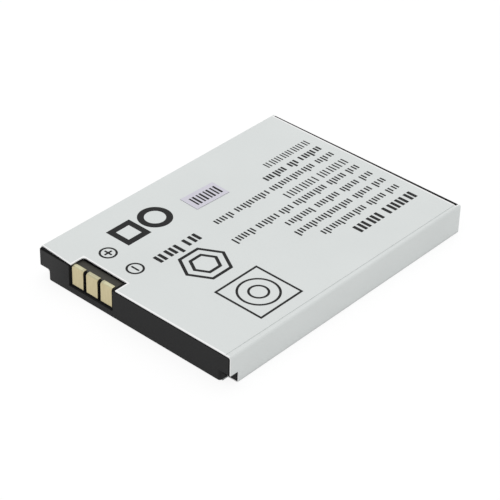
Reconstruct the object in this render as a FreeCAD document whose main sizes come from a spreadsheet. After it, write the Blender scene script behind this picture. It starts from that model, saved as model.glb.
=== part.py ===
import FreeCAD, Part
import math
import os
import re
import Sketcher
from FreeCAD import Placement, Rotation, Vector

# Flat rechargeable pack of a cordless handset. Lengths are in millimetres, +Z is up, the end with
# the contacts faces -Y, and the origin is under the middle of the pack.

doc = FreeCAD.newDocument("PhoneBattery")

# Driving sizes
SIZES = [
    ("pack_width", 34.6, "across the long sides, over the wrap"),
    ("pack_length", 47.0, "contact end to rear end"),
    ("pack_height", 4.8, "over the wrap"),
    ("wrap_thickness", 0.15, "printed film with its overlap"),
    ("wrap_top_radius", 0.45, "fold along the upper long sides"),
    ("wrap_bottom_radius", 0.35, "fold along the lower long sides"),
    ("seam_step", 0.05, "drop from the overlap to the single film"),
    ("seam_inset_front", 0.95, "seam from the right side, at the contact end"),
    ("seam_inset_rear", 0.6, "seam from the right side, at the rear end"),
    ("wrap_slip", 0.46, "how far the wrap stops short at its left front corner"),
    ("wrap_lag", 0.08, "and at the left of the window"),
    ("wrap_setback", 0.5, "lower film behind the face of the contact cap"),
    ("rear_strip_left", 0.43, "bare strip of the rear cap, left end"),
    ("rear_strip_right", 0.66, "bare strip of the rear cap, right end"),
    ("window_depth", 2.41, "window of the wrap over the contacts, front to back"),
    ("window_skew", 0.14, "how much less that is at its right end"),
    ("window_lap", 0.4, "wrap over the left end of the recess"),
    ("window_spare", 0.54, "window past the right end of the recess"),
    ("window_radius", 0.5, "rounded corner of the window"),
    ("front_cap_depth", 3.3, "contact cap, front to back"),
    ("cap_bottom_radius", 0.16, "lower front edge of the contact cap"),
    ("cap_face_radius", 0.15, "other edges of the contact cap's front face"),
    ("notch_width", 1.6, "key notch into the cap's side"),
    ("notch_depth", 1.5, "key notch, front to back"),
    ("notch_height", 1.75, "key notch over the cap's underside"),
    ("notch_radius", 0.4, "upright edge beside the key notch"),
    ("recess_margin", 0.37, "recess beside the outer contacts"),
    ("recess_place", 9.8, "middle of the recess from the pack's left side"),
    ("recess_floor", 1.03, "lip under the contacts, over the cap's underside"),
    ("contact_setback", 0.23, "contacts behind the cap's face"),
    ("contact_thickness", 0.2, "plated strip"),
    ("contact_width", 2.08, "one contact"),
    ("contact_pitch", 2.66, "contact to contact"),
    ("contact_lip", 0.7, "lip over the top, front to back"),
    ("contact_drop", 0.12, "lip under the cap's top"),
    ("contact_gap", 0.32, "foot of a contact over the recess floor"),
    ("contact_edge", 0.07, "broken edge round a contact's face"),
    ("contact_bend", 0.4, "outer radius of the bend"),
    ("tail_width", 0.8, "solder tail"),
    ("tail_height", 0.25, "solder tail"),
    ("tail_clearance", 0.03, "round the solder tail"),
    ("groove_depth", 0.45, "groove between two contacts, into the land"),
    ("land_wall", 0.87, "land of the contacts to the board pocket"),
    ("pocket_roof", 0.3, "cap between the ledge and the board pocket"),
    ("pocket_wall", 0.5, "cap under the board pocket"),
    ("pocket_end_wall", 0.55, "cap between key notch and board pocket"),
    ("core_depth", 0.5, "hollow in front of the board pocket"),
    ("core_margin", 0.4, "rim round that hollow"),
    ("board_thickness", 0.6, "protection board"),
    ("board_clearance", 0.1, "round the board"),
    ("rear_cap_depth", 1.0, "rear cap, front to back"),
    ("rear_cap_radius", 0.04, "edges of the rear cap's outer face"),
    ("pad_thickness", 0.4, "adhesive pad in the rear cap"),
    ("pad_rim_side", 3.0, "rear cap beside the pad"),
    ("pad_rim", 1.0, "rear cap over and under the pad"),
    ("cell_clearance", 0.15, "can to wrap, at each long side"),
    ("cell_edge_radius", 0.6, "long edges of the can"),
    ("cell_base_radius", 0.4, "edges round the can's base"),
    ("weld_inset", 0.45, "weld line from the can's outside"),
    ("weld_width", 0.2, "weld line"),
    ("weld_depth", 0.08, "weld line"),
    ("gasket_length", 5.0, "terminal gasket"),
    ("gasket_inset", 1.1, "terminal gasket from the can's broad faces"),
    ("gasket_thickness", 0.3, "terminal gasket"),
    ("sleeve_radius", 0.75, "gasket's sleeve in the lid"),
    ("sleeve_depth", 0.5, "gasket's sleeve in the lid"),
    ("rivet_length", 3.6, "head of the terminal"),
    ("rivet_width", 1.5, "head of the terminal"),
    ("rivet_thickness", 0.3, "head of the terminal"),
    ("rivet_radius", 0.5, "shank of the terminal"),
    ("plug_radius", 0.5, "plug of the filling hole"),
    ("plug_depth", 0.4, "plug of the filling hole"),
    ("plug_place", 9.5, "filling hole from the terminal"),
    ("paper_thickness", 0.15, "insulating paper on the lid"),
    ("paper_clearance", 0.2, "paper round gasket, tab and cap"),
    ("tab_thickness", 0.12, "nickel tabs"),
    ("tab_width", 1.8, "nickel tabs"),
    ("tab_foot", 1.5, "foot of a tab on the board"),
    ("tab_weld", 2.4, "foot of a tab on the lid"),
    ("tab_bend", 0.1, "inner radius of the tabs' bends"),
    ("tab_margin", 0.3, "tab foot from the board's end"),
    ("cutoff_place", 5.6, "thermal cutoff from the terminal"),
    ("cutoff_length", 4.0, "thermal cutoff"),
    ("cutoff_margin", 0.39, "thermal cutoff to the roof and floor of the board pocket"),
    ("cutoff_thickness", 0.9, "thermal cutoff"),
    ("cutoff_radius", 0.2, "edges of the thermal cutoff"),
    ("chip_length", 2.9, "six-lead chips"),
    ("chip_thickness", 0.85, "six-lead chips"),
    ("chip_standoff", 0.05, "six-lead chips over the board"),
    ("lead_margin", 0.24, "leads of the chips from the board's long edges"),
    ("lead_reach", 0.55, "how far the leads reach beyond a chip's body"),
    ("lead_width", 0.4, "leads of the chips"),
    ("lead_thickness", 0.15, "leads of the chips"),
    ("lead_pitch", 0.95, "leads of the chips"),
    ("lead_foot", 0.3, "leads of the chips"),
    ("chip_margin", 0.9, "switch chip from the foot of the positive tab"),
    ("chip_gap", 0.7, "between neighbours on the board"),
    ("passive_length", 1.0, "small chip parts"),
    ("passive_width", 0.5, "small chip parts"),
    ("passive_thickness", 0.4, "small chip parts"),
    ("passive_end", 0.2, "metal ends of the small chip parts"),
    ("passive_plating", 0.03, "how far the metal ends stand proud"),
    ("passive_row", 0.85, "small chip parts from the board's middle line"),
    ("thermistor_length", 1.6, "thermistor"),
    ("sticker_length", 6.2, "date sticker"),
    ("sticker_width", 3.4, "date sticker"),
    ("sticker_thickness", 0.05, "date sticker"),
    ("sticker_turn", -2.3, "date sticker, degrees"),
    ("sticker_side", 7.7, "sticker's middle from the pack's left side"),
    ("sticker_end", 24.05, "sticker's middle from the contact end"),
]
ALIASES = {alias for alias, number, meaning in SIZES}

sheet = doc.addObject("Spreadsheet::Sheet", "Sizes")
for row, (alias, number, meaning) in enumerate(SIZES, 1):
    sheet.set(f"A{row}", meaning)
    sheet.set(f"B{row}", str(number))
    sheet.setAlias(f"B{row}", alias)
doc.recompute()

# Planes and places that several pieces share, each worked out from the driving sizes
PLANES = [
    ("front", "-pack_length / 2"),
    ("rear", "pack_length / 2"),
    ("wrap_side", "pack_width / 2"),
    ("middle", "pack_height / 2"),
    ("cap_side", "wrap_side - wrap_thickness"),
    ("cell_side", "cap_side - cell_clearance"),
    ("cap_low", "wrap_thickness"),
    ("cap_high", "pack_height - wrap_thickness"),
    ("notch_side", "cap_side - notch_width"),
    ("notch_top", "cap_low + notch_height"),
    ("recess_centre", "recess_place - wrap_side"),
    ("recess_half", "contact_pitch + contact_width / 2 + recess_margin"),
    ("recess_left", "recess_centre - recess_half"),
    ("recess_right", "recess_centre + recess_half"),
    ("recess_low", "cap_low + recess_floor"),
    ("window_left", "recess_left + window_lap"),
    ("window_right", "recess_right + window_spare"),
    ("window_back", "front + window_depth"),
    ("ledge_back", "window_back - window_skew"),
    ("contact_face", "front + contact_setback"),
    ("contact_back", "contact_face + contact_lip"),
    ("contact_top", "cap_high - contact_drop"),
    ("contact_low", "recess_low + contact_gap"),
    ("land_face", "contact_face + contact_thickness"),
    ("land_top", "contact_top - contact_thickness"),
    ("board_front", "land_face + land_wall"),
    ("board_back", "board_front + board_thickness"),
    ("pocket_side", "notch_side - pocket_end_wall"),
    ("pocket_low", "cap_low + pocket_wall"),
    ("pocket_high", "land_top - pocket_roof"),
    ("board_side", "pocket_side - board_clearance"),
    ("board_low", "pocket_low + board_clearance"),
    ("board_high", "pocket_high - board_clearance"),
    ("board_middle", "(board_low + board_high) / 2"),
    ("chip_span", "board_high - board_low - 2 * lead_margin"),
    ("chip_width", "chip_span - 2 * lead_reach"),
    ("cutoff_low", "pocket_low + cutoff_margin"),
    ("cutoff_high", "pocket_high - cutoff_margin"),
    ("foot_end", "board_side - tab_margin"),
    ("foot_start", "foot_end - tab_foot"),
    ("mosfet_place", "-foot_start + chip_margin + chip_length / 2"),
    ("controller_place", "mosfet_place + chip_length + chip_gap"),
    ("passive_place", "controller_place + (chip_length + passive_length) / 2 + chip_gap"),
    ("passive_step", "passive_length + chip_gap"),
    ("lid", "front + front_cap_depth"),
    ("base", "rear - rear_cap_depth"),
    ("paper_face", "lid - paper_thickness"),
    ("gasket_face", "lid - gasket_thickness"),
    ("rivet_face", "gasket_face - rivet_thickness"),
    ("tab_low", "board_middle - tab_width / 2"),
    ("cutoff_end", "cutoff_place + cutoff_length"),
    ("gasket_width", "cap_high - cap_low - 2 * gasket_inset"),
]
PLACES = {name for name, formula in PLANES}


def bound(formula):
    """The formula with each size read from the sheet and each plane from the planes."""
    def owner(word):
        if word[0] in ALIASES:
            return "Sizes." + word[0]
        return "Planes." + word[0] if word[0] in PLACES else word[0]
    return re.sub(r"[a-z_]+", owner, formula)


planes = doc.addObject("App::VarSet", "Planes")
for name, formula in PLANES:
    planes.addProperty("App::PropertyFloat", name)
    planes.setExpression(name, bound(formula))
doc.recompute()

XY, XZ, YZ = "XY_Plane", "XZ_Plane", "YZ_Plane"
NODES = []


# Shared steps
def new_body(label):
    """A piece of its own, whose label names its file."""
    body = doc.addObject("PartDesign::Body", "Body_" + label)
    body.Label = label
    NODES.append(body)
    return body


def sketch_on(body, role, level="0", across="0", up="0"):
    """A sketch parallel to one of the body's origin planes, at the given level on its normal.

    XY faces +Z, XZ faces -Y (so its level is minus the place in Y) and YZ faces +X. The sketch's
    own origin may be moved across and up.
    """
    sketch = body.newObject("Sketcher::SketchObject", "Sketch")
    plane = next(item for item in body.Origin.OriginFeatures if item.Role == role)
    sketch.AttachmentSupport = [(plane, "")]
    sketch.MapMode = "FlatFace"
    for axis, formula in (("x", across), ("y", up), ("z", level)):
        sketch.setExpression(f"AttachmentOffset.Base.{axis}", bound(formula))
    return sketch


def fix(sketch, kind, *where):
    """A dimension of the sketch that follows its formula."""
    index = sketch.addConstraint(Sketcher.Constraint(kind, *where[:-1], 1.0))
    sketch.renameConstraint(index, f"size_{index}")
    sketch.setExpression(f"Constraints.size_{index}", bound(where[-1]))


def outline(sketch, corners):
    """A closed outline of straight lines through the corners, each given by two formulas."""
    count = len(corners)
    turn = 2 * math.pi / count
    ring = [Vector(math.cos(turn * step), math.sin(turn * step), 0) for step in range(count)]
    first = sketch.GeometryCount
    for step in range(count):
        sketch.addGeometry(Part.LineSegment(ring[step], ring[(step + 1) % count]), False)
    for step in range(count):
        line, following = first + step, first + (step + 1) % count
        sketch.addConstraint(Sketcher.Constraint("Coincident", line, 2, following, 1))
    for step, (across, up) in enumerate(corners):
        fix(sketch, "DistanceX", -1, 1, first + step, 1, across)
        fix(sketch, "DistanceY", -1, 1, first + step, 1, up)


def rectangle(sketch, left, right, low, high):
    """A rectangle between four formulas."""
    outline(sketch, [(left, low), (right, low), (right, high), (left, high)])


def disc(sketch, radius):
    """A circle about the sketch's origin."""
    index = sketch.addGeometry(Part.Circle(Vector(0, 0, 0), Vector(0, 0, 1), 1.0), False)
    sketch.addConstraint(Sketcher.Constraint("Coincident", index, 3, -1, 1))
    fix(sketch, "Radius", index, radius)


def pad(body, sketch, length, reverse=False):
    """Material from the sketch along its normal, or against it."""
    feature = body.newObject("PartDesign::Pad", "Pad")
    feature.Profile = sketch
    feature.setExpression("Length", bound(length))
    feature.Reversed = reverse
    doc.recompute()
    return feature


def pocket(body, sketch, depth, reverse=False):
    """A cut from the sketch against its normal, or along it, which has to remove something."""
    before = body.Shape.Volume
    feature = body.newObject("PartDesign::Pocket", "Pocket")
    feature.Profile = sketch
    feature.setExpression("Length", bound(depth))
    feature.Reversed = reverse
    doc.recompute()
    if body.Shape.Volume >= before:
        raise RuntimeError(f"{body.Label}: a pocket cuts nothing")
    return feature


def slot(shape, body, level, length, width, amount):
    """A pad or pocket with round ends, level with the terminal: a bar and a disc at each end."""
    half = f"({length} - {width}) / 2"
    sketch = sketch_on(body, XZ, level, up="middle")
    rectangle(sketch, "-" + half, half, f"-{width} / 2", f"{width} / 2")
    shape(body, sketch, amount)
    for side in ("-", ""):
        sketch = sketch_on(body, XZ, level, side + half, "middle")
        disc(sketch, f"{width} / 2")
        shape(body, sketch, amount)


def edges(feature, along, **places):
    """Names of the straight edges along an axis whose middle lies at the given places."""
    axis = "xyz".index(along)
    names = []
    for number, edge in enumerate(feature.Shape.Edges, 1):
        start, end = edge.Vertexes[0].Point, edge.Vertexes[-1].Point
        run = end - start
        if run.Length < 1e-6 or abs(abs(run[axis]) - run.Length) > 1e-6 * run.Length:
            continue
        centre = (start + end) * 0.5
        misses = [min(abs(centre["xyz".index(key)] - place) for place in spots)
                  for key, spots in places.items()]
        if max(misses) < 1e-4:
            names.append(f"Edge{number}")
    if not names:
        raise RuntimeError(f"{feature.Label}: no edge along {along} at {places}")
    return names


def fillet(body, feature, names, radius):
    """A rounding of the named edges."""
    rounding = body.newObject("PartDesign::Fillet", "Fillet")
    rounding.Base = (feature, names)
    rounding.setExpression("Radius", bound(radius))
    doc.recompute()
    return rounding


def cap_block(body, face, depth):
    """A block from a plane towards the rear that fills the wrap, its long edges rounded to fit."""
    sketch = sketch_on(body, XZ, "-" + face)
    rectangle(sketch, "-cap_side", "cap_side", "cap_low", "cap_high")
    block = pad(body, sketch, depth, reverse=True)
    upper = edges(block, "y", z=[planes.cap_high])
    block = fillet(body, block, upper, "wrap_top_radius - wrap_thickness")
    lower = edges(block, "y", z=[planes.cap_low])
    return fillet(body, block, lower, "wrap_bottom_radius - wrap_thickness")


# Contact cap, one moulding of black plastic. Its back is open for the board.
cap = new_body("front_cap")
cap_block(cap, "front", "front_cap_depth")

# A key notch under each front corner lets the pack go in one way up
for inner, outer in (("notch_side", "cap_side + 1"), ("-cap_side - 1", "-notch_side")):
    sketch = sketch_on(cap, XZ, "-front")
    rectangle(sketch, inner, outer, "cap_low - 1", "notch_top")
    notched = pocket(cap, sketch, "notch_depth")
corners = edges(notched, "z", x=[planes.notch_side, -planes.notch_side], y=[planes.front])
rounded = fillet(cap, notched, corners, "notch_radius")
low_edge = edges(rounded, "x", y=[planes.front], z=[planes.cap_low])
rounded = fillet(cap, rounded, low_edge, "cap_bottom_radius")
high_edge = edges(rounded, "x", y=[planes.front], z=[planes.cap_high])
fillet(cap, rounded, high_edge, "cap_face_radius")

# Recess of the contacts, with the ledge that their lips lie on and a groove beside each
sketch = sketch_on(cap, XZ, "-front")
rectangle(sketch, "recess_left", "recess_right", "recess_low", "cap_high + 1")
pocket(cap, sketch, "land_face - front")
sketch = sketch_on(cap, XZ, "-land_face")
rectangle(sketch, "recess_left", "recess_right", "land_top", "cap_high + 1")
ledge = pocket(cap, sketch, "ledge_back - land_face")
nose = edges(ledge, "x", y=[planes.land_face], z=[planes.land_top])
fillet(cap, ledge, nose, "contact_bend - contact_thickness")
for side in (-1, 1):
    sketch = sketch_on(cap, XZ, "-land_face")
    middle = f"recess_centre + {side} * contact_pitch / 2"
    half = "(contact_pitch - contact_width) / 2"
    rectangle(sketch, f"{middle} - {half}", f"{middle} + {half}", "recess_low", "cap_high + 1")
    pocket(cap, sketch, "groove_depth")

# Board pocket from the back, two hollows that keep the wall even, and slots for the solder tails
sketch = sketch_on(cap, XZ, "-lid")
rectangle(sketch, "-pocket_side", "pocket_side", "pocket_low", "pocket_high")
pocket(cap, sketch, "lid - board_front", reverse=True)
for left, right in (("-pocket_side", "recess_left"), ("recess_right", "pocket_side")):
    sketch = sketch_on(cap, XZ, "-board_front")
    rectangle(sketch, f"{left} + core_margin", f"{right} - core_margin",
              "pocket_low + core_margin", "pocket_high - core_margin")
    pocket(cap, sketch, "core_depth", reverse=True)
for place in (-1, 0, 1):
    sketch = sketch_on(cap, XZ, "-board_front")
    middle = f"recess_centre + {place} * contact_pitch"
    half = "(tail_width / 2 + tail_clearance)"
    rise = "(tail_height / 2 + tail_clearance)"
    rectangle(sketch, f"{middle} - {half}", f"{middle} + {half}", f"middle - {rise}", f"middle + {rise}")
    pocket(cap, sketch, "land_wall", reverse=True)


# Three contacts, each one strip of gold-plated bronze bent over the cap's ledge, with a solder tail
def contact(label, place):
    body = new_body(label)
    left = f"(recess_centre + {place} * contact_pitch - contact_width / 2)"
    sketch = sketch_on(body, YZ, left)
    outline(sketch, [
        ("contact_face", "contact_low"), ("land_face", "contact_low"), ("land_face", "land_top"),
        ("contact_back", "land_top"), ("contact_back", "contact_top"), ("contact_face", "contact_top"),
    ])
    strip = pad(body, sketch, "contact_width")
    bend = edges(strip, "x", y=[planes.contact_face], z=[planes.contact_top])
    strip = fillet(body, strip, bend, "contact_bend")
    inside = edges(strip, "x", y=[planes.land_face], z=[planes.land_top])
    strip = fillet(body, strip, inside, "contact_bend - contact_thickness")
    uprights = edges(strip, "z", y=[planes.contact_face])
    foot = edges(strip, "x", y=[planes.contact_face], z=[planes.contact_low])
    fillet(body, strip, uprights + foot, "contact_edge")
    sketch = sketch_on(body, XZ, "-land_face")
    middle = f"(recess_centre + {place} * contact_pitch)"
    rectangle(sketch, f"{middle} - tail_width / 2", f"{middle} + tail_width / 2",
              "middle - tail_height / 2", "middle + tail_height / 2")
    pad(body, sketch, "land_wall", reverse=True)


for label, place in (("contact_positive", -1), ("contact_sensor", 0), ("contact_negative", 1)):
    contact(label, place)

# Protection board, glass fibre laminate on edge in the cap's pocket
board = new_body("protection_board")
sketch = sketch_on(board, XZ, "-board_front")
rectangle(sketch, "-board_side", "board_side", "board_low", "board_high")
pad(board, sketch, "board_thickness", reverse=True)

# Cell, a drawn aluminium can with its lid welded in: sealed, so it is one solid
cell = new_body("cell_can")
sketch = sketch_on(cell, XZ, "-lid")
rectangle(sketch, "-cell_side", "cell_side", "cap_low", "cap_high")
can = pad(cell, sketch, "base - lid", reverse=True)
long_edges = edges(can, "y", x=[planes.cell_side, -planes.cell_side])
can = fillet(cell, can, long_edges, "cell_edge_radius")
rim = [f"Edge{number}" for number, edge in enumerate(can.Shape.Edges, 1)
       if edge.BoundBox.YMin > planes.base - 1e-4]
fillet(cell, can, rim, "cell_base_radius")
sketch = sketch_on(cell, XZ, "-lid")
for inset in ("weld_inset", "(weld_inset + weld_width)"):
    rectangle(sketch, f"-cell_side + {inset}", f"cell_side - {inset}",
              f"cap_low + {inset}", f"cap_high - {inset}")
pocket(cell, sketch, "weld_depth")
bores = (("0", "sleeve_radius", "sleeve_depth"), ("plug_place", "plug_radius", "plug_depth"))
for place, radius, depth in bores:
    sketch = sketch_on(cell, XZ, "-lid", place, "middle")
    disc(sketch, radius)
    pocket(cell, sketch, depth)

# Gasket of the negative terminal, a plastic plate with a sleeve down into the lid
gasket = new_body("terminal_gasket")
slot(pad, gasket, "-lid", "gasket_length", "gasket_width", "gasket_thickness")
sketch = sketch_on(gasket, XZ, "-lid", up="middle")
disc(sketch, "sleeve_radius")
pad(gasket, sketch, "sleeve_depth", reverse=True)
sketch = sketch_on(gasket, XZ, "-gasket_face", up="middle")
disc(sketch, "rivet_radius")
pocket(gasket, sketch, "gasket_thickness + sleeve_depth")

# Terminal, a nickel-plated rivet with an oblong head
rivet = new_body("terminal_rivet")
slot(pad, rivet, "-gasket_face", "rivet_length", "rivet_width", "rivet_thickness")
sketch = sketch_on(rivet, XZ, "-gasket_face", up="middle")
disc(sketch, "rivet_radius")
pad(rivet, sketch, "gasket_thickness + sleeve_depth", reverse=True)

# Plug that closes the filling hole, flush with the lid
plug = new_body("fill_plug")
sketch = sketch_on(plug, XZ, "-lid", "plug_place", "middle")
disc(sketch, "plug_radius")
pad(plug, sketch, "plug_depth", reverse=True)

# Insulating paper on the lid, punched round the gasket and short of the bare metal at the tab
paper = new_body("lid_insulator")
sketch = sketch_on(paper, XZ, "-lid")
rectangle(sketch, "-foot_start + tab_weld + paper_clearance", "board_side", "board_low", "board_high")
pad(paper, sketch, "paper_thickness")
slot(pocket, paper, "-paper_face", "(gasket_length + 2 * paper_clearance)",
     "(gasket_width + 2 * paper_clearance)", "paper_thickness")


# Nickel tabs. The two bent ones are strips with one foot on the board and the other on their source.
def bent_tab(label, corners, bends):
    body = new_body(label)
    sketch = sketch_on(body, XY, "tab_low")
    outline(sketch, corners)
    strip = pad(body, sketch, "tab_width")
    for radius, place in bends:
        strip = fillet(body, strip, edges(strip, "z", **place), radius)


positive = [
    ("-foot_end", "board_back"), ("-foot_start + tab_thickness", "board_back"),
    ("-foot_start + tab_thickness", "lid - tab_thickness"),
    ("-foot_start + tab_weld", "lid - tab_thickness"),
    ("-foot_start + tab_weld", "lid"), ("-foot_start", "lid"),
    ("-foot_start", "board_back + tab_thickness"), ("-foot_end", "board_back + tab_thickness"),
]
thick = sheet.get("tab_thickness")
upright, weld_side = -planes.foot_start, -planes.foot_start + thick
bent_tab("positive_tab", positive, [
    ("tab_bend", dict(x=[upright], y=[planes.board_back + thick])),
    ("tab_bend", dict(x=[weld_side], y=[planes.lid - thick])),
    ("tab_bend + tab_thickness", dict(x=[weld_side], y=[planes.board_back])),
    ("tab_bend + tab_thickness", dict(x=[upright], y=[planes.lid])),
])

fused = [
    ("foot_end", "board_back"), ("foot_end", "board_back + tab_thickness"),
    ("foot_start", "board_back + tab_thickness"), ("foot_start", "rivet_face"),
    ("cutoff_end", "rivet_face"), ("cutoff_end", "rivet_face - tab_thickness"),
    ("foot_start - tab_thickness", "rivet_face - tab_thickness"),
    ("foot_start - tab_thickness", "board_back"),
]
upright, cell_side = planes.foot_start, planes.foot_start - thick
bent_tab("cutoff_tab", fused, [
    ("tab_bend", dict(x=[upright], y=[planes.board_back + thick])),
    ("tab_bend", dict(x=[cell_side], y=[planes.rivet_face - thick])),
    ("tab_bend + tab_thickness", dict(x=[cell_side], y=[planes.board_back])),
    ("tab_bend + tab_thickness", dict(x=[upright], y=[planes.rivet_face])),
])

negative = new_body("negative_tab")
sketch = sketch_on(negative, XZ, "-rivet_face")
rectangle(sketch, "-rivet_length / 2", "cutoff_place", "tab_low", "tab_low + tab_width")
pad(negative, sketch, "tab_thickness")

# Thermal cutoff, a sealed body between the terminal and the board
cutoff = new_body("thermal_cutoff")
sketch = sketch_on(cutoff, XZ, "-paper_face")
rectangle(sketch, "cutoff_place", "cutoff_end", "cutoff_low", "cutoff_high")
body_block = pad(cutoff, sketch, "cutoff_thickness")
outer = body_block.Shape.BoundBox.YMin
fillet(cutoff, body_block, edges(body_block, "x", y=[outer]), "cutoff_radius")


# Six-lead chips on the back of the board: a moulded body, and its gull-wing leads as one group
def chip(label, place):
    body = new_body(label + "_body")
    sketch = sketch_on(body, XZ, "-board_back - chip_standoff")
    rectangle(sketch, f"{place} - chip_length / 2", f"{place} + chip_length / 2",
              "board_middle - chip_width / 2", "board_middle + chip_width / 2")
    pad(body, sketch, "chip_thickness", reverse=True)

    leads = []
    for side in (-1, 1):
        for step in (-1, 0, 1):
            lead = doc.addObject("PartDesign::Body", "Lead")
            sketch = sketch_on(lead, YZ, f"{place} + {step} * lead_pitch - lead_width / 2")
            tip = f"board_middle + {side} * chip_span / 2"
            knee = f"{tip} - {side} * lead_foot"
            heel = f"{knee} - {side} * lead_thickness"
            root = f"board_middle + {side} * chip_width / 2"
            half_way = "board_back + chip_standoff + chip_thickness / 2"
            outline(sketch, [
                ("board_back", tip), ("board_back", heel), (half_way, heel), (half_way, root),
                (half_way + " + lead_thickness", root), (half_way + " + lead_thickness", knee),
                ("board_back + lead_thickness", knee), ("board_back + lead_thickness", tip),
            ])
            pad(lead, sketch, "lead_width")
            leads.append(lead)
    group = doc.addObject("Part::Compound", "Group_" + label)
    group.Links = leads
    group.Label = label + "_leads"
    NODES.append(group)


chip("mosfet", "mosfet_place")
chip("controller", "controller_place")


# Small chip parts: a ceramic block whose two metal ends stand a little proud
def passive(place, row, length):
    solids = []
    depth = "passive_thickness"
    for left, right, proud in (
        (f"{place} - {length} / 2", f"{place} + {length} / 2", "0"),
        (f"{place} - {length} / 2", f"{place} - {length} / 2 + passive_end", "passive_plating"),
        (f"{place} + {length} / 2 - passive_end", f"{place} + {length} / 2", "passive_plating"),
    ):
        box = doc.addObject("Part::Box", "Block")
        box.setExpression("Length", bound(f"{right} - ({left})"))
        box.setExpression("Width", bound(f"{depth} + {proud}"))
        box.setExpression("Height", bound(f"passive_width + 2 * {proud}"))
        box.setExpression("Placement.Base.x", bound(left))
        box.setExpression("Placement.Base.y", bound("board_back"))
        low = f"board_middle + {row} * passive_row - passive_width / 2 - {proud}"
        box.setExpression("Placement.Base.z", bound(low))
        solids.append(box)
    fuse = doc.addObject("Part::MultiFuse", "Chip")
    fuse.Shapes = solids
    return fuse


def passive_group(label, members):
    group = doc.addObject("Part::Compound", "Group_" + label)
    group.Links = [passive(*member) for member in members]
    group.Label = label
    NODES.append(group)


passive_group("chip_resistors", [
    ("passive_place", -1, "passive_length"),
    ("passive_place", 1, "passive_length"),
    ("passive_place + passive_step", -1, "passive_length"),
])
passive_group("chip_capacitors", [
    ("passive_place + passive_step", 1, "passive_length"),
    ("passive_place + 2 * passive_step", -1, "passive_length"),
])
thermistor_place = "passive_place + 2 * passive_step + (thermistor_length - passive_length) / 2"
passive_group("thermistor", [(thermistor_place, 1, "thermistor_length")])

# Rear cap, a black moulding with a shallow hollow for the adhesive pad that holds it to the can
tail = new_body("rear_cap")
slab = cap_block(tail, "base", "rear_cap_depth")
rim = [f"Edge{number}" for number, edge in enumerate(slab.Shape.Edges, 1)
       if edge.BoundBox.YMin > planes.rear - 1e-4]
fillet(tail, slab, rim, "rear_cap_radius")
PAD = ("-cap_side + pad_rim_side", "cap_side - pad_rim_side", "cap_low + pad_rim", "cap_high - pad_rim")
sketch = sketch_on(tail, XZ, "-base")
rectangle(sketch, *PAD)
pocket(tail, sketch, "pad_thickness")

tape = new_body("rear_adhesive_pad")
sketch = sketch_on(tape, XZ, "-base")
rectangle(sketch, *PAD)
pad(tape, sketch, "pad_thickness", reverse=True)

# Wrap, white printed film round the can and both caps, with its seam along the right side
wrap = new_body("label_wrap")
sketch = sketch_on(wrap, XZ, "-front")
rectangle(sketch, "-wrap_side", "wrap_side", "0", "pack_height")
solid = pad(wrap, sketch, "pack_length", reverse=True)
folds = edges(solid, "y", z=[sheet.get("pack_height")])
solid = fillet(wrap, solid, folds, "wrap_top_radius")
solid = fillet(wrap, solid, edges(solid, "y", z=[0.0]), "wrap_bottom_radius")
ends = [f"Face{number}" for number, face in enumerate(solid.Shape.Faces, 1) if face.BoundBox.YLength < 1e-4]
sleeve = wrap.newObject("PartDesign::Thickness", "Sleeve")
sleeve.Base = (solid, ends)
sleeve.setExpression("Value", bound("wrap_thickness"))
sleeve.Reversed = True
doc.recompute()

# The overlap ends short of the right side, so the film beyond it lies one layer lower
sketch = sketch_on(wrap, XY, "pack_height")
outline(sketch, [
    ("wrap_side - seam_inset_front", "front - 1"), ("wrap_side + 1", "front - 1"),
    ("wrap_side + 1", "rear + 1"), ("wrap_side - seam_inset_rear", "rear + 1"),
])
pocket(wrap, sketch, "seam_step")

# Window over the contacts, and the front edge, which runs askew left of it
sketch = sketch_on(wrap, XY, "pack_height")
outline(sketch, [
    ("window_left", "front - 1"), ("window_right", "front - 1"),
    ("window_right", "ledge_back"), ("window_left", "window_back"),
])
open_wrap = pocket(wrap, sketch, "wrap_thickness")
corner = edges(open_wrap, "z", x=[planes.window_left], y=[planes.window_back])
fillet(wrap, open_wrap, corner, "window_radius")
sketch = sketch_on(wrap, XY, "pack_height + 1")
outline(sketch, [
    ("-wrap_side - 1", "front - 1"), ("window_left", "front - 1"), ("window_left", "front + wrap_lag"),
    ("-wrap_side", "front + wrap_slip"), ("-wrap_side - 1", "front + wrap_slip"),
])
pocket(wrap, sketch, "pack_height + 2")
sketch = sketch_on(wrap, XY, "wrap_thickness")
rectangle(sketch, "-cap_side", "cap_side", "front - 1", "front + wrap_setback")
pocket(wrap, sketch, "wrap_thickness")

# Key notches go through the film too
for inner, outer in (("notch_side", "wrap_side + 1"), ("-wrap_side - 1", "-notch_side")):
    sketch = sketch_on(wrap, XZ, "-front")
    rectangle(sketch, inner, outer, "-1", "notch_top")
    pocket(wrap, sketch, "notch_depth")

# The upper film leaves a narrow strip of the rear cap bare
sketch = sketch_on(wrap, XY, "pack_height")
outline(sketch, [
    ("-cap_side", "rear - rear_strip_left"), ("cap_side", "rear - rear_strip_right"),
    ("cap_side", "rear + 1"), ("-cap_side", "rear + 1"),
])
pocket(wrap, sketch, "wrap_thickness")

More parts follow.
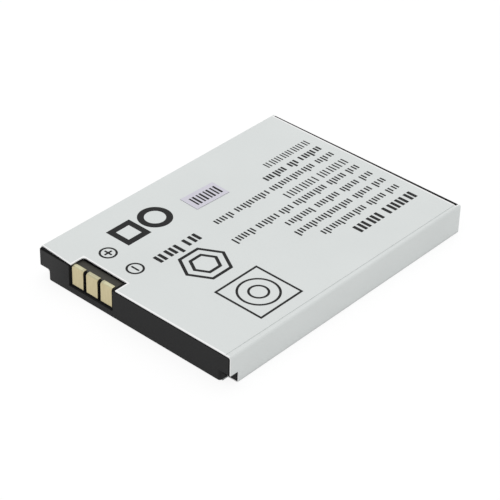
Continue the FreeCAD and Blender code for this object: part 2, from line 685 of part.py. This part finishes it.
# Date sticker, a small paper rectangle put on a little askew
sticker = doc.addObject("Part::Box", "Sticker")
sticker.Label = "date_sticker"
sticker.setExpression("Length", bound("sticker_width"))
sticker.setExpression("Width", bound("sticker_length"))
sticker.setExpression("Height", bound("sticker_thickness"))
turn = math.radians(sheet.get("sticker_turn"))
half_width, half_length = sheet.get("sticker_width") / 2, sheet.get("sticker_length") / 2
corner = Rotation(Vector(0, 0, 1), math.degrees(turn)).multVec(Vector(half_width, half_length, 0))
centre = Vector(-planes.wrap_side + sheet.get("sticker_side"), planes.front + sheet.get("sticker_end"), 0)
level = Vector(0, 0, sheet.get("pack_height"))
sticker.Placement = Placement(centre - corner + level, Rotation(Vector(0, 0, 1), math.degrees(turn)))
NODES.append(sticker)

# Every object is sound before anything is written
doc.recompute()
for item in doc.Objects:
    if "Invalid" in item.State or "Error" in item.State:
        raise RuntimeError(f"{item.Label}: {item.State}")
for node in NODES:
    if node.Shape.isNull() or not node.Shape.isValid():
        raise RuntimeError(f"{node.Label}: no sound shape")

os.makedirs("parts", exist_ok=True)
for node in NODES:
    node.Shape.exportStep(f"parts/{node.Label}.step")
    print(f"{node.Label:20s} {len(node.Shape.Solids)} solids {node.Shape.Volume:10.3f} cubic mm")
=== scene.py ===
import bpy
import math
from mathutils import Matrix, Vector


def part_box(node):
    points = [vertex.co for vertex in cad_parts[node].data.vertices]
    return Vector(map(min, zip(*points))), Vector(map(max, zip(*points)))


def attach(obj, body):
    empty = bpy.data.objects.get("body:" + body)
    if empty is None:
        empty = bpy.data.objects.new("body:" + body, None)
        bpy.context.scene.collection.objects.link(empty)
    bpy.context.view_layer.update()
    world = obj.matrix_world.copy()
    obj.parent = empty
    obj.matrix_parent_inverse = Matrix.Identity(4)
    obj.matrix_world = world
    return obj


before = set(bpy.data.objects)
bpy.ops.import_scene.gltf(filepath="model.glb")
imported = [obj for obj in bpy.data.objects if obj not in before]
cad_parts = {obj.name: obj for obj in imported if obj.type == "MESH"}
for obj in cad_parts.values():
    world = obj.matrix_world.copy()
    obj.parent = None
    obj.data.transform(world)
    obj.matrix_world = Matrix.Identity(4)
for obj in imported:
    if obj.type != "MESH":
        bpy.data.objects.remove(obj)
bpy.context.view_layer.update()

# Cell: a flat can of drawn aluminium, with its lid laser welded in and its filling hole plugged.
# Drawing leaves it satin, with faint lines along the pull. It carries all the other pieces.
MM = 0.001


def linear(code):
    """The linear colour of an sRGB hex code."""
    shares = [int(code[place:place + 2], 16) / 255 for place in (0, 2, 4)]
    return [s / 12.92 if s <= 0.04045 else ((s + 0.055) / 1.055) ** 2.4 for s in shares] + [1.0]


def add(tree, kind, inputs=None, **settings):
    """Adds one node. Its inputs take a value or the socket of another node."""
    made = tree.nodes.new(kind)
    for name, value in settings.items():
        setattr(made, name, value)
    for socket, value in (inputs or {}).items():
        if isinstance(value, bpy.types.NodeSocket):
            tree.links.new(value, made.inputs[socket])
        else:
            made.inputs[socket].default_value = value
    return made


def new_finish(name):
    """An empty material and its node tree."""
    material = bpy.data.materials.new(name)
    material.use_nodes = True
    material.node_tree.nodes.clear()
    return material, material.node_tree


def grained(tree, size, depth, stretch=(1, 1, 1), detail=2.0):
    """Grains of a size and depth in millimetres, as a height and as the bump that it raises."""
    place = add(tree, "ShaderNodeTexCoord").outputs["Object"]
    scale = [1 / (size * MM * part) for part in stretch]
    spread = add(tree, "ShaderNodeMapping", {"Vector": place, "Scale": scale}).outputs["Vector"]
    grain = add(tree, "ShaderNodeTexNoise", {"Vector": spread, "Scale": 1.0, "Detail": detail})
    height = grain.outputs["Fac"]
    bump = add(tree, "ShaderNodeBump", {"Height": height, "Distance": depth * MM, "Strength": 1.0})
    return height, bump.outputs["Normal"]


def coloured(tree, first, *layers):
    """The colour of a hex code, with others laid over it, each as far as its share goes."""
    colour = linear(first)
    for share, code in layers:
        above = linear(code) if isinstance(code, str) else code
        mix = add(tree, "ShaderNodeMix", {0: share, 6: colour, 7: above}, data_type="RGBA")
        colour = mix.outputs[2]
    return colour


def surface(tree, **inputs):
    """The surface shader and the output, which close a finish."""
    named = {name.replace("_", " "): value for name, value in inputs.items()}
    shader = add(tree, "ShaderNodeBsdfPrincipled", named)
    add(tree, "ShaderNodeOutputMaterial", {"Surface": shader.outputs["BSDF"]})


def dress(material, *names):
    """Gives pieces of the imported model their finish."""
    for name in names:
        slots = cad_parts[name].data.materials
        slots.clear()
        slots.append(material)


drawn_aluminium, tree = new_finish("drawn_aluminium")
height, normal = grained(tree, size=0.12, depth=0.002, stretch=(1, 12, 1))
rough = add(tree, "ShaderNodeMapRange", {"Value": height, "To Min": 0.3, "To Max": 0.42})
surface(tree, Base_Color=coloured(tree, "C4C6C9", (height, "D6D8DA")), Metallic=1.0,
        Roughness=rough.outputs["Result"], Normal=normal)
dress(drawn_aluminium, "cell_can", "fill_plug")

# Negative terminal and tabs: a nickel-plated steel rivet through the lid, and nickel strips that
# are spot welded from the cell to the board. Rolling leaves faint lines along the strip.
rolled_nickel, tree = new_finish("rolled_nickel")
height, normal = grained(tree, size=0.05, depth=0.001, stretch=(14, 1, 1))
rough = add(tree, "ShaderNodeMapRange", {"Value": height, "To Min": 0.25, "To Max": 0.4})
surface(tree, Base_Color=coloured(tree, "A9A59C", (height, "C2BEB6")), Metallic=1.0,
        Roughness=rough.outputs["Result"], Normal=normal)
dress(rolled_nickel, "terminal_rivet", "positive_tab", "cutoff_tab", "negative_tab")

# Gasket: dark blue polypropylene, moulded smooth, with a soft gloss. The rivet squeezes it on the
# lid, and its sleeve keeps the rivet off the metal of the hole.
moulded_polypropylene, tree = new_finish("moulded_polypropylene")
height, normal = grained(tree, size=0.1, depth=0.002)
surface(tree, Base_Color=coloured(tree, "1B2840", (height, "223252")), Roughness=0.42, IOR=1.49,
        Normal=normal)
dress(moulded_polypropylene, "terminal_gasket")

# Lid insulator: pale fibre paper, punched to go round the terminal and laid on the rest of the lid.
# Its fibres lie along the strip that it is cut from and leave it dry and dull.
fibre_paper, tree = new_finish("fibre_paper")
height, normal = grained(tree, size=0.09, depth=0.01, stretch=(3, 1, 1), detail=5.0)
surface(tree, Base_Color=coloured(tree, "B9C0B4", (height, "D2D7CC")), Roughness=0.85, IOR=1.5,
        Normal=normal)
dress(fibre_paper, "lid_insulator")

# Thermal cutoff: a small sealed housing of pale resin between the terminal and the board, welded to
# the nickel tabs on both sides. The mould leaves the resin smooth, with a dull gloss.
cutoff_resin, tree = new_finish("cutoff_resin")
height, normal = grained(tree, size=0.08, depth=0.003)
surface(tree, Base_Color=coloured(tree, "B8B4A6", (height, "C9C5B8")), Roughness=0.5, IOR=1.55,
        Normal=normal)
dress(cutoff_resin, "thermal_cutoff")

# Protection board: glass fibre laminate under green solder mask, standing on edge in the front cap.
# The weave of the glass shows faintly through the glossy mask.
THREAD = 0.45
solder_mask, tree = new_finish("solder_mask")
place = add(tree, "ShaderNodeTexCoord").outputs["Object"]
weave = add(tree, "ShaderNodeTexChecker", {"Vector": place, "Scale": 1 / (THREAD * MM),
                                           "Color1": linear("0E4A26"), "Color2": linear("125530")})
height, normal = grained(tree, size=THREAD, depth=0.003)
surface(tree, Base_Color=weave.outputs["Color"], Roughness=0.3, IOR=1.52, Coat_Weight=0.3,
        Normal=normal)
dress(solder_mask, "protection_board")

# Chips: bodies of black epoxy moulded round tinned copper leads, which are soldered to the board.
# Fillers in the resin leave it matt with a fine speckle, and the tin is bright.
chip_epoxy, tree = new_finish("chip_epoxy")
height, normal = grained(tree, size=0.05, depth=0.004)
surface(tree, Base_Color=coloured(tree, "1A1A1B", (height, "29292A")), Roughness=0.6, IOR=1.55,
        Normal=normal)
dress(chip_epoxy, "mosfet_body", "controller_body")

tinned_copper, tree = new_finish("tinned_copper")
height, normal = grained(tree, size=0.06, depth=0.002)
rough = add(tree, "ShaderNodeMapRange", {"Value": height, "To Min": 0.25, "To Max": 0.45})
surface(tree, Base_Color=coloured(tree, "BDBDBA", (height, "D3D3D0")), Metallic=1.0,
        Roughness=rough.outputs["Result"], Normal=normal)
dress(tinned_copper, "mosfet_leads", "controller_leads")

# Small chip parts: fired ceramic blocks soldered to the board, black glazed as resistors, brown as
# capacitors and dark grey as the thermistor. Firing leaves them smooth, with a slight mottle.
for finish, node, dark, light in (
    ("resistor_glaze", "chip_resistors", "17171A", "222226"),
    ("capacitor_ceramic", "chip_capacitors", "8A6844", "A17D57"),
    ("thermistor_ceramic", "thermistor", "3A3A38", "4C4C49"),
):
    fired, tree = new_finish(finish)
    height, normal = grained(tree, size=0.06, depth=0.002)
    surface(tree, Base_Color=coloured(tree, dark, (height, light)), Roughness=0.35, IOR=1.6,
            Normal=normal)
    dress(fired, node)

# Contacts: bronze strip bent over the ledge of the front cap and plated with pale gold. Springs of
# the battery bay leave fine upright rubs, drawn coarser here to show. The lips above them are
# painted a greyer, darker gold as painted shade, most of all on the middle one.


def parted(tree, output, unsigned=False):
    """The X, Y and Z of a place (output "Object") or of the way it faces (output "Normal")."""
    vector = add(tree, "ShaderNodeTexCoord").outputs[output]
    if unsigned:
        vector = add(tree, "ShaderNodeVectorMath", {0: vector}, operation="ABSOLUTE").outputs[0]
    return list(add(tree, "ShaderNodeSeparateXYZ", {"Vector": vector}).outputs)


def where(tree, *tests):
    """A share: 1 where every test holds, each a number, a comparison and a limit, and else 0."""
    share = 1.0
    for number, comparison, limit in tests:
        holds = add(tree, "ShaderNodeMath", {0: number, 1: limit}, operation=comparison)
        both = add(tree, "ShaderNodeMath", {0: share, 1: holds.outputs[0]}, operation="MULTIPLY")
        share = both.outputs[0]
    return share


plated_gold, tree = new_finish("plated_gold")
height, normal = grained(tree, size=0.22, depth=0.0015, stretch=(1, 1, 5), detail=4.0)
rough = add(tree, "ShaderNodeMapRange", {"Value": height, "To Min": 0.36, "To Max": 0.5})
across = parted(tree, "Object")[0]
upward = parted(tree, "Normal")[2]
lip = add(tree, "ShaderNodeMapRange", {"Value": upward, "From Min": 0.5, "From Max": 0.9})
sensor_left, sensor_right = [corner.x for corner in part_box("contact_sensor")]
margin = (sensor_right - sensor_left) / 2
on_sensor = where(tree, (across, "GREATER_THAN", sensor_left - margin),
                  (across, "LESS_THAN", sensor_right + margin))
# Painted shade: the upward-facing lips take a greyer, darker gold, darkest on the middle contact
lip_painted_shade = coloured(tree, "C1BD9E", (on_sensor, "B1AD91"))
gold = coloured(tree, "BFB38C", (height, "D7CCA8"), (lip.outputs["Result"], lip_painted_shade))
surface(tree, Base_Color=gold, Metallic=1.0, Roughness=rough.outputs["Result"], Normal=normal)
dress(plated_gold, "contact_positive", "contact_sensor", "contact_negative")

# Front cap: black ABS from a spark-eroded mould, with a fine even grain and a low sheen. It holds
# the board and the contacts. The ledge behind them is painted paler where it faces up, as painted
# sheen, the left end is painted paler as painted light, and the cut edge of the film keeps a hair
# of painted shadow on the plastic beside it.
LEFT_SHEEN_SPAN = (-11 * MM, -15 * MM)
LEDGE = (-22.9 * MM, -22.6 * MM)
LEVEL = (0.6, 0.95)
SHADOW = (0.28 * MM, 0.18 * MM)
cap_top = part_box("front_cap")[1]


def black_abs(tree, *painted_sheens):
    """Closes the finish of a cap: grained black, then its painted sheen, then the painted shadow of
    the film.
    """
    height, normal = grained(tree, size=0.14, depth=0.006)
    rough = add(tree, "ShaderNodeMapRange", {"Value": height, "To Min": 0.48, "To Max": 0.6})
    high = parted(tree, "Object")[2]
    aside = parted(tree, "Object", unsigned=True)[0]
    at_top, at_side = [
        add(tree, "ShaderNodeMapRange", {"Value": number, "From Min": rim - SHADOW[0],
                                         "From Max": rim - SHADOW[1]}).outputs["Result"]
        for number, rim in ((high, cap_top.z), (aside, cap_top.x))
    ]
    shaded = add(tree, "ShaderNodeMath", {0: at_top, 1: at_side}, operation="MAXIMUM").outputs[0]
    black = coloured(tree, "252525", (height, "2D2D2E"), *painted_sheens, (shaded, "020202"))
    surface(tree, Base_Color=black, Specular_IOR_Level=0.1, Roughness=rough.outputs["Result"],
            IOR=1.5, Normal=normal)


moulded_abs_painted_sheen, tree = new_finish("moulded_abs_painted_sheen")
across, along, _ = parted(tree, "Object")
upward = parted(tree, "Normal")[2]
# Painted light: the left end and the up-facing ledge are painted paler, standing in for sheen
left_painted_sheen, level, behind = [
    add(tree, "ShaderNodeMapRange", {"Value": number, "From Min": none,
                                     "From Max": full}).outputs["Result"]
    for number, none, full in ((across, *LEFT_SHEEN_SPAN), (upward, *LEVEL), (along, *LEDGE))
]
ledge_painted_sheen = add(tree, "ShaderNodeMath", {0: level, 1: behind}, operation="MULTIPLY").outputs[0]
black_abs(tree, (left_painted_sheen, "373737"), (ledge_painted_sheen, "464540"))
dress(moulded_abs_painted_sheen, "front_cap")

# Rear cap: a plate of the same black ABS over the far end of the can. A pad of black foam tape with
# glue on both sides sits in its pocket and holds it on. The foam is open, so it is matt and rough.
moulded_abs, tree = new_finish("moulded_abs")
black_abs(tree)
dress(moulded_abs, "rear_cap")

pad_foam, tree = new_finish("pad_foam")
height, normal = grained(tree, size=0.12, depth=0.03, detail=4.0)
surface(tree, Base_Color=coloured(tree, "3C3C3D", (height, "58585A")), Roughness=0.9, IOR=1.45,
        Normal=normal)
dress(pad_foam, "rear_adhesive_pad")

# Wrap: white polypropylene film, varnished satin and pulled round the can and the caps. It follows
# their hollows, so its gloss wanders a little. A hair of painted highlight lies along each cut, the
# step of its seam is painted dark for grime and for the shadow in it, and the low folds where it
# turns under are painted darker as painted shade.
WINDOW = (-11.17 * MM, -2.89 * MM)
FRONT_CUT, WINDOW_CUT, REAR_CUT = (0.46 * MM, 0), (2.41 * MM, 2.27 * MM), (0.43 * MM, 0.66 * MM)
HIGHLIGHT_WIDTH = 0.2 * MM
SEAM_REACH = 15 * MM
SWELL, PEEL = 9 * MM, 0.35 * MM
FACING = 0.8
film_low, film_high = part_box("label_wrap")
satin_film, tree = new_finish("satin_film")
place = add(tree, "ShaderNodeTexCoord").outputs["Object"]
swell = add(tree, "ShaderNodeTexNoise", {"Vector": place, "Scale": 1 / SWELL, "Detail": 1.0})
waves = add(tree, "ShaderNodeBump", {"Height": swell.outputs["Fac"], "Distance": 0.05 * MM,
                                     "Strength": 1.0})
peel = add(tree, "ShaderNodeTexNoise", {"Vector": place, "Scale": 1 / PEEL, "Detail": 2.0})
skin = add(tree, "ShaderNodeBump", {"Height": peel.outputs["Fac"], "Distance": 0.003 * MM,
                                    "Strength": 1.0, "Normal": waves.outputs["Normal"]})
rough = add(tree, "ShaderNodeMapRange", {"Value": peel.outputs["Fac"], "To Min": 0.4,
                                         "To Max": 0.5})

across, along, high = parted(tree, "Object")
reach = parted(tree, "Object", unsigned=True)[0]
sideways, endways, _ = parted(tree, "Normal", unsigned=True)
upward = parted(tree, "Normal")[2]

# Each painted highlight ends on a line a little askew, given by its distances from the pack's end
front_highlight_end, window_highlight_end, rear_highlight_end = [
    add(tree, "ShaderNodeMapRange", {"Value": across, "From Min": left, "From Max": right,
                                     "To Min": end + way * (cut[0] + HIGHLIGHT_WIDTH),
                                     "To Max": end + way * (cut[1] + HIGHLIGHT_WIDTH)}).outputs["Result"]
    for left, right, cut, end, way in (
        (film_low.x, WINDOW[0], FRONT_CUT, film_low.y, 1),
        (*WINDOW, WINDOW_CUT, film_low.y, 1),
        (film_low.x, film_high.x, REAR_CUT, film_high.y, -1),
    )
]
# The painted highlight lies on the upright face of a step, on the cut ends, and on top beside each
# cut
step = ((sideways, "GREATER_THAN", FACING), (reach, "LESS_THAN", film_high.x - 0.4 * MM))
top = ((upward, "GREATER_THAN", FACING), (reach, "LESS_THAN", film_high.x - 0.3 * MM))
cut_painted_highlights = [where(tree, *tests) for tests in (
    step,
    ((endways, "GREATER_THAN", FACING),),
    (*top, (along, "LESS_THAN", front_highlight_end)),
    (*top, (along, "LESS_THAN", window_highlight_end), (across, "GREATER_THAN", WINDOW[0] - HIGHLIGHT_WIDTH),
     (across, "LESS_THAN", WINDOW[1] + HIGHLIGHT_WIDTH)),
    (*top, (along, "GREATER_THAN", rear_highlight_end)),
)]
# The seam's step is painted dark, for grime and painted shadow; the low folds faintly, as painted
# shade
seam_grime_and_painted_shade = where(tree, *step, (reach, "GREATER_THAN", SEAM_REACH))
low, turned_in = [
    add(tree, "ShaderNodeMapRange", {"Value": number, "From Min": none,
                                     "From Max": full}).outputs["Result"]
    for number, none, full in ((high, 0.5 * MM, 0.3 * MM), (sideways, 0.15, 0.4))
]
low_fold_painted_shade = add(tree, "ShaderNodeMath", {0: low, 1: turned_in}, operation="MULTIPLY").outputs[0]
white = coloured(tree, "D9DDDC", (swell.outputs["Fac"], "DFE3E2"), (low_fold_painted_shade, "CACECD"),
                 *[(cut, "FAFAFA") for cut in cut_painted_highlights], (seam_grime_and_painted_shade, "BCC0BF"))
surface(tree, Base_Color=white, Roughness=rough.outputs["Result"], IOR=1.49,
        Normal=skin.outputs["Normal"])
dress(satin_film, "label_wrap")

# Print on the film: black ink, screen printed in one pass, so it is thin, even and a bit glossy. It
# is rows of plain upright strokes, a few plain outlines, and the polarity of the contacts.
INK = 0.006 * MM
CORNER = 0.06 * MM
film_top = film_high.z

black_ink, tree = new_finish("black_ink")
height, normal = grained(tree, size=0.2, depth=0.001)
surface(tree, Base_Color=coloured(tree, "0A0A0B", (height, "121213")), Specular_IOR_Level=0.18,
        Roughness=0.5, IOR=1.5, Normal=normal)


def lay_bars(level, bars):
    """Flat bars of ink in one open mesh, given by their middles and their sizes in millimetres."""
    bpy.ops.object.select_all(action="DESELECT")
    for x, y, across, along in bars:
        bpy.ops.mesh.primitive_cube_add(size=1, location=(x * MM, y * MM, level + INK / 2),
                                        scale=(across * MM, along * MM, INK))
        if bpy.context.mode == "OBJECT":
            bpy.ops.object.transform_apply(location=True, rotation=True, scale=True)
            bpy.ops.object.mode_set(mode="EDIT")


def pick_upright(kind):
    """Selects the upright faces or edges of the open mesh, and nothing else."""
    bpy.ops.mesh.select_mode(type=kind)
    bpy.ops.mesh.select_all(action="DESELECT")
    bpy.ops.object.mode_set(mode="OBJECT")
    mesh = bpy.context.object.data
    for part in {"FACE": mesh.polygons, "EDGE": mesh.edges}[kind]:
        heights = [mesh.vertices[corner].co.z for corner in part.vertices]
        part.select = max(heights) - min(heights) > INK / 2
    bpy.ops.object.mode_set(mode="EDIT")


def round_corners():
    """Rounds the corners of the open mesh, as ink runs round under the squeegee."""
    pick_upright("EDGE")
    bpy.ops.mesh.bevel(offset=CORNER, segments=2, affect="EDGES")


def fix_ink(name):
    """Closes the open mesh, and puts it on the pack as a piece of its print."""
    bpy.ops.object.mode_set(mode="OBJECT")
    printed = bpy.context.object
    printed.name = printed.data.name = name
    printed.data.materials.append(black_ink)
    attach(printed, "root")


def stroke_row(start, low, short, tall, thick, pitch, groups):
    """Strokes in groups, from start towards the contact end, with a tall one in every five."""
    strokes, y, count = [], start - thick / 2, 0
    for group in groups:
        for stroke in range(group):
            rise = tall if count % 5 == 3 else short
            strokes.append((low + rise / 2, y, rise, thick))
            y -= pitch * (0.9, 1.2, 0.9, 1.0)[count % 4]
            count += 1
        y -= pitch * 0.9
    return strokes


# Start, foot, two heights, thickness and pitch of each row's strokes in millimetres, and the groups
ROWS = [
    (21.05, 9.98, 1.7, 1.7, 0.54, 0.912, (7, 6)),
    (21.1, 7.4, 1.05, 1.4, 0.3, 0.61, (4, 6, 15)),
    (21.1, 4.98, 1.05, 1.4, 0.31, 0.615, (4, 6, 19)),
    (21.1, 2.61, 1.05, 1.4, 0.3, 0.61, (4, 6, 8, 9)),
    (21.1, 0.14, 1.1, 1.45, 0.3, 0.6, (4, 6, 11, 4, 7, 7)),
    (21.0, -2.16, 1.45, 1.5, 0.26, 0.655, (9, 10)),
    (21.2, -4.58, 1.05, 1.4, 0.3, 0.61, (6, 15, 11, 6)),
    (21.1, -6.87, 1.1, 1.5, 0.37, 0.637, (7, 3, 7)),
    (21.0, -9.2, 1.3, 1.35, 0.23, 0.58, (16,)),
    (-7.1, -4.5, 1.65, 2.1, 0.56, 0.93, (3, 5)),
]
lay_bars(film_top, [stroke for row in ROWS for stroke in stroke_row(*row)])
round_corners()
fix_ink("print_lines")


def outline(name, place, radius, stroke, sides, turn=0.0):
    """A flat outline of ink about a place on the film, in millimetres, round or straight sided."""
    bpy.ops.object.select_all(action="DESELECT")
    bpy.ops.mesh.primitive_circle_add(vertices=sides, radius=radius * MM, fill_type="NGON",
                                      location=(place[0] * MM, place[1] * MM, film_top),
                                      rotation=(0, 0, turn))
    bpy.ops.object.transform_apply(location=True, rotation=True, scale=True)
    bpy.ops.object.mode_set(mode="EDIT")
    bpy.ops.mesh.select_mode(type="FACE")
    bpy.ops.mesh.select_all(action="SELECT")
    bpy.ops.mesh.inset(thickness=stroke * MM, use_even_offset=True)
    bpy.ops.mesh.delete(type="FACE")
    bpy.ops.mesh.select_all(action="SELECT")
    bpy.ops.mesh.extrude_region_move(TRANSFORM_OT_translate={"value": (0, 0, INK)})
    bpy.ops.mesh.select_all(action="SELECT")
    bpy.ops.mesh.normals_make_consistent(inside=False)
    fix_ink(name)


ROUND = 96
SQUARE = (4, math.pi / 4)
PLUS, MINUS = (-9.5, -18.23), (-4.45, -18.26)
HEXAGONS, FRAME = (1.38, -11.08), (10.6, -10.88)
outline("polarity_ring_plus", PLUS, 1.28, 0.31, ROUND)
outline("polarity_ring_minus", MINUS, 1.28, 0.31, ROUND)
outline("bold_ring", (-10.9, -7.95), 2.47, 0.95, ROUND)
outline("bold_square", (-10.9, -12.99), 3.07, 0.95, *SQUARE)
outline("hexagon_sign", HEXAGONS, 3.75, 0.47, 6)
outline("hexagon_sign_inner", HEXAGONS, 2.3, 0.47, 6)
outline("frame_sign", FRAME, 5.8, 0.34, *SQUARE)
outline("ring_sign", FRAME, 3.0, 0.34, ROUND)
outline("ring_sign_inner", FRAME, 1.5, 0.34, ROUND)

# The plus grows from its hub, with an arm drawn out of each side
STROKE, ARM = 0.3, 0.525
lay_bars(film_top, [(*PLUS, STROKE, STROKE)])
pick_upright("FACE")
bpy.ops.mesh.extrude_faces_move(TRANSFORM_OT_shrink_fatten={"value": ARM * MM})
round_corners()
fix_ink("polarity_plus")

lay_bars(film_top, [(*MINUS, 1.42, STROKE)])
round_corners()
fix_ink("polarity_minus")

# Date sticker: a small die-cut label of uncoated lilac paper, stuck on by hand a little askew. Its
# fibres give it a soft, dry surface, its cut edge is painted dark for dirt on the glue and for the
# shadow along it, and a row of upright strokes in the same black ink is stamped along it.
lilac_paper, tree = new_finish("lilac_paper")
height, normal = grained(tree, size=0.12, depth=0.008, stretch=(1, 3, 1), detail=5.0)
# Painted dark at the cut edge: dirt on the glue, and painted shadow along it
edge_dirt_and_shade = where(tree, (parted(tree, "Normal")[2], "LESS_THAN", 0.5))
lilac = coloured(tree, "CFCDD9", (height, "D8D6E0"), (edge_dirt_and_shade, "5F5C68"))
surface(tree, Base_Color=lilac, Roughness=0.8, IOR=1.5, Normal=normal)
dress(lilac_paper, "date_sticker")

STAMPED = (2.93, 2.3, 1.6, 1.0, 0.3, -0.3, -1.0, -1.6)
ASKEW = math.radians(2.3)
paper_low, paper_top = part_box("date_sticker")
middle = (paper_low + paper_top) / 2
lay_bars(paper_top.z, [(middle.x / MM + 0.08, y, 1.95, (0.36, 0.28)[count % 2])
                       for count, y in enumerate(STAMPED)])
bpy.ops.mesh.select_all(action="SELECT")
bpy.ops.transform.rotate(value=ASKEW, orient_axis="Z", center_override=middle)
round_corners()
fix_ink("sticker_print")

# Ground: a plain pale paper sweep, a hair under the film. The camera sees it as white, and it keeps
# the pack's soft shadow.


def on_view(tree):
    """A share: 1 for what the camera sees straight, mirrored or through glass, and else 0."""
    rays = add(tree, "ShaderNodeLightPath")
    share = rays.outputs["Is Camera Ray"]
    for kind in ("Is Glossy Ray", "Is Transmission Ray"):
        either = add(tree, "ShaderNodeMath", {0: share, 1: rays.outputs[kind]}, operation="MAXIMUM")
        share = either.outputs[0]
    return share


pale_sweep, tree = new_finish("pale_sweep")
pale = add(tree, "ShaderNodeBsdfDiffuse", {"Color": linear("EEEEEE")})
shadowed = add(tree, "ShaderNodeBsdfDiffuse", {"Color": linear("6A6A6A")})
glow = add(tree, "ShaderNodeEmission", {"Color": linear("FFFFFF"), "Strength": 0.88})
white = add(tree, "ShaderNodeAddShader", {0: shadowed.outputs[0], 1: glow.outputs[0]})
paper = add(tree, "ShaderNodeMixShader", {0: on_view(tree), 1: pale.outputs[0],
                                          2: white.outputs[0]})
add(tree, "ShaderNodeOutputMaterial", {"Surface": paper.outputs[0]})
bpy.ops.object.select_all(action="DESELECT")
bpy.ops.mesh.primitive_plane_add(size=3.0, location=(0, 0, -0.02 * MM))
ground = bpy.context.object
ground.name = ground.data.name = "ground"
ground.data.materials.append(pale_sweep)

# Light: a white tent all round, with one broad soft lamp over the pack. The tent lights the pack a
# little less than it shows as a background.
world = bpy.data.worlds.new("tent")
bpy.context.scene.world = world
world.use_nodes = True
tree = world.node_tree
tree.nodes.clear()
strength = add(tree, "ShaderNodeMapRange", {"Value": on_view(tree), "To Min": 0.805,
                                            "To Max": 1.0}).outputs["Result"]
sky = add(tree, "ShaderNodeBackground", {"Color": linear("FFFFFF"), "Strength": strength})
add(tree, "ShaderNodeOutputWorld", {"Surface": sky.outputs[0]})

OVERHEAD = Vector((-0.15, 0.15, 0.6))
lamp = bpy.data.lights.new("overhead", "AREA")
lamp.shape, lamp.size, lamp.energy = "SQUARE", 0.5, 0.68
stand = bpy.data.objects.new("overhead", lamp)
stand.location = OVERHEAD
stand.rotation_euler = OVERHEAD.to_track_quat("Z", "Y").to_euler()
bpy.context.scene.collection.objects.link(stand)

# Camera: a long lens close to the pack, at the photograph's angle, aimed a little off the middle
AIM = Vector((1.34, -2.19, 2.4)) * MM
DISTANCE = 259.5 * MM
AZIMUTH, ELEVATION, ROLL = 41.08, 35.26, 1.61
lens = bpy.data.cameras.new("camera")
lens.sensor_width, lens.lens = 36.0, 138.5
lens.clip_start, lens.clip_end = 0.01, 20.0
camera = bpy.data.objects.new("camera", lens)
turned = Matrix.Identity(4)
for degrees, axis in ((AZIMUTH, "Z"), (90 - ELEVATION, "X"), (ROLL, "Z")):
    turned = turned @ Matrix.Rotation(math.radians(degrees), 4, axis)
camera.matrix_world = Matrix.Translation(AIM + turned.to_3x3() @ Vector((0, 0, DISTANCE))) @ turned
bpy.context.scene.collection.objects.link(camera)
bpy.context.scene.camera = camera
bpy.context.scene.view_settings.view_transform = "Standard"
